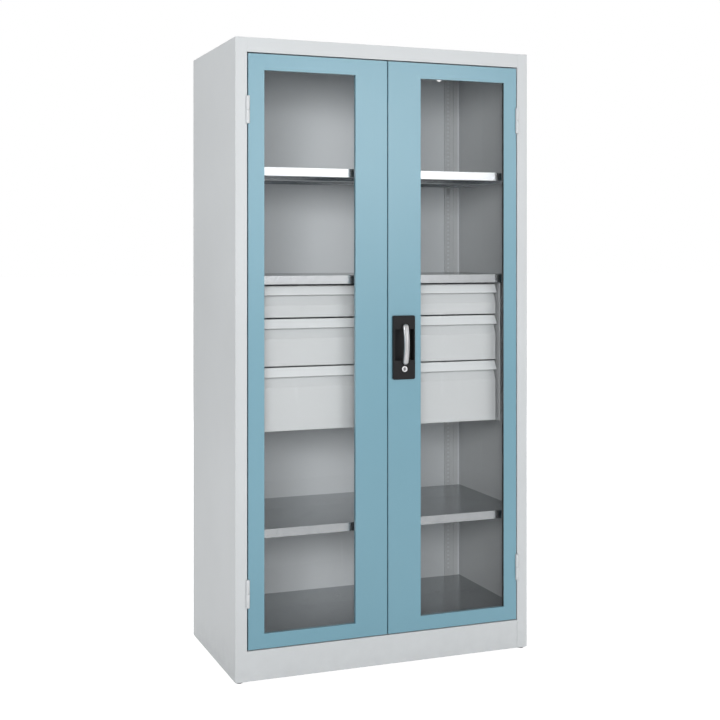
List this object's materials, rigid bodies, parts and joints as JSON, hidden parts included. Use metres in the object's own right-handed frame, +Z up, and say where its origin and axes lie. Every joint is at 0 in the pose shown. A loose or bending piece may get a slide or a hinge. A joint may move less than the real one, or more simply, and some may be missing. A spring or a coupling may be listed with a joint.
{
  "type": "heavy-duty cabinet",
  "caption": "Tall sheet-steel workshop cabinet with glazed double doors, plated shelves, a block of drawers and a keyed pull handle that locks rods up and down.",
  "frame": {"origin": "under the middle of the bounding box, on the surface the feet stand on", "axes": "+X to the right seen from the front, -Y out of the front, +Z up"},
  "size_m": [1, 0.5364, 1.955],
  "materials": {
    "body_grey": "light grey powder coat, fine orange peel",
    "door_blue": "pastel blue powder coat, satin",
    "zinc_sheet": "bright zinc plated sheet",
    "drawer_grey": "light grey powder coat, satin",
    "runner_zinc": "zinc plated rolled steel",
    "seal_rubber": "matt black rubber",
    "clear_pane": "clear polished sheet",
    "handle_black": "fine grained black moulding",
    "bow_metal": "bright polished bar",
    "lock_chrome": "bright plated lock",
    "mechanism_steel": "zinc plated steel",
    "guide_plastic": "black moulded guide"
  },
  "bodies": {
    "carcass": {"left_side_panel": "body_grey", "right_side_panel": "body_grey", "back_panel": "body_grey", "roof_panel": "body_grey", "base_rail": "body_grey", "floor_panel": "zinc_sheet", "foot_plates": "mechanism_steel", "levelling_feet": "mechanism_steel", "foot_nuts": "mechanism_steel", "left_support_strip": "body_grey", "right_support_strip": "body_grey", "upper_shelf": "zinc_sheet", "middle_shelf": "zinc_sheet", "lower_shelf": "zinc_sheet", "shelf_stiffeners": "zinc_sheet", "shelf_clips": "mechanism_steel", "left_drawer_housing": "body_grey", "right_drawer_housing": "body_grey", "housing_screws": "mechanism_steel", "top_drawer_outer_rails": "runner_zinc", "middle_drawer_outer_rails": "runner_zinc", "bottom_drawer_outer_rails": "runner_zinc", "left_frame_knuckles": "body_grey", "right_frame_knuckles": "body_grey", "hinge_pins": "mechanism_steel"},
    "left_door": {"left_door_leaf": "door_blue", "left_window_seal": "seal_rubber", "left_window_pane": "clear_pane", "left_pane_retainer": "mechanism_steel", "left_retainer_nuts": "mechanism_steel", "left_door_knuckles": "body_grey"},
    "right_door": {"right_door_leaf": "door_blue", "right_window_seal": "seal_rubber", "right_window_pane": "clear_pane", "right_pane_retainer": "mechanism_steel", "right_retainer_nuts": "mechanism_steel", "right_door_knuckles": "body_grey", "handle_plate": "handle_black", "handle_bow": "bow_metal", "handle_screws": "mechanism_steel", "lock_cylinder": "lock_chrome", "lock_case": "mechanism_steel", "rod_guides": "guide_plastic"},
    "lock_turner": {"lock_plug": "lock_chrome", "lock_cam": "mechanism_steel"},
    "upper_rod": {"upper_lock_rod": "mechanism_steel"},
    "lower_rod": {"lower_lock_rod": "mechanism_steel"},
    "top_drawer": {"top_drawer_front": "drawer_grey", "top_drawer_tray": "drawer_grey", "top_drawer_inner_rails": "runner_zinc"},
    "middle_drawer": {"middle_drawer_front": "drawer_grey", "middle_drawer_tray": "drawer_grey", "middle_drawer_inner_rails": "runner_zinc"},
    "bottom_drawer": {"bottom_drawer_front": "drawer_grey", "bottom_drawer_tray": "drawer_grey", "bottom_drawer_inner_rails": "runner_zinc"},
    "top_runner": {"top_drawer_middle_rails": "runner_zinc"},
    "middle_runner": {"middle_drawer_middle_rails": "runner_zinc"},
    "bottom_runner": {"bottom_drawer_middle_rails": "runner_zinc"}
  },
  "joints": [
    {"name": "left_door_hinge", "type": "hinge", "parent": "carcass", "child": "left_door", "pos_m": [-0.4615, -0.23525, 0.2714], "axis": [0, 0, -1], "range_deg": [0, 180]},
    {"name": "right_door_hinge", "type": "hinge", "parent": "carcass", "child": "right_door", "pos_m": [0.4615, -0.23525, 0.2714], "axis": [0, 0, 1], "range_deg": [0, 180]},
    {"name": "lock_turn", "type": "hinge", "parent": "right_door", "child": "lock_turner", "pos_m": [0.0534, -0.23175, 0.9353], "axis": [0, 1, 0], "range_deg": [0, 90]},
    {"name": "upper_rod_slide", "type": "slide", "parent": "right_door", "child": "upper_rod", "axis": [0, 0, 1], "range_m": [0, 0.01555]},
    {"name": "lower_rod_slide", "type": "slide", "parent": "right_door", "child": "lower_rod", "axis": [0, 0, -1], "range_m": [0, 0.01555]},
    {"name": "top_drawer_slide", "type": "slide", "parent": "carcass", "child": "top_drawer", "axis": [0, -1, 0], "range_m": [0, 0.0265]},
    {"name": "middle_drawer_slide", "type": "slide", "parent": "carcass", "child": "middle_drawer", "axis": [0, -1, 0], "range_m": [0, 0.0265]},
    {"name": "bottom_drawer_slide", "type": "slide", "parent": "carcass", "child": "bottom_drawer", "axis": [0, -1, 0], "range_m": [0, 0.0265]},
    {"name": "top_runner_slide", "type": "slide", "parent": "carcass", "child": "top_runner", "axis": [0, -1, 0], "range_m": [0, 0.01325]},
    {"name": "middle_runner_slide", "type": "slide", "parent": "carcass", "child": "middle_runner", "axis": [0, -1, 0], "range_m": [0, 0.01325]},
    {"name": "bottom_runner_slide", "type": "slide", "parent": "carcass", "child": "bottom_runner", "axis": [0, -1, 0], "range_m": [0, 0.01325]}
  ],
  "couplings": [
    {"joint": "lock_turn", "follows": "upper_rod_slide", "rad_per_m": 100.97},
    {"joint": "lower_rod_slide", "follows": "upper_rod_slide", "ratio": 1},
    {"joint": "top_runner_slide", "follows": "top_drawer_slide", "ratio": 0.5},
    {"joint": "middle_runner_slide", "follows": "middle_drawer_slide", "ratio": 0.5},
    {"joint": "bottom_runner_slide", "follows": "bottom_drawer_slide", "ratio": 0.5}
  ]
}
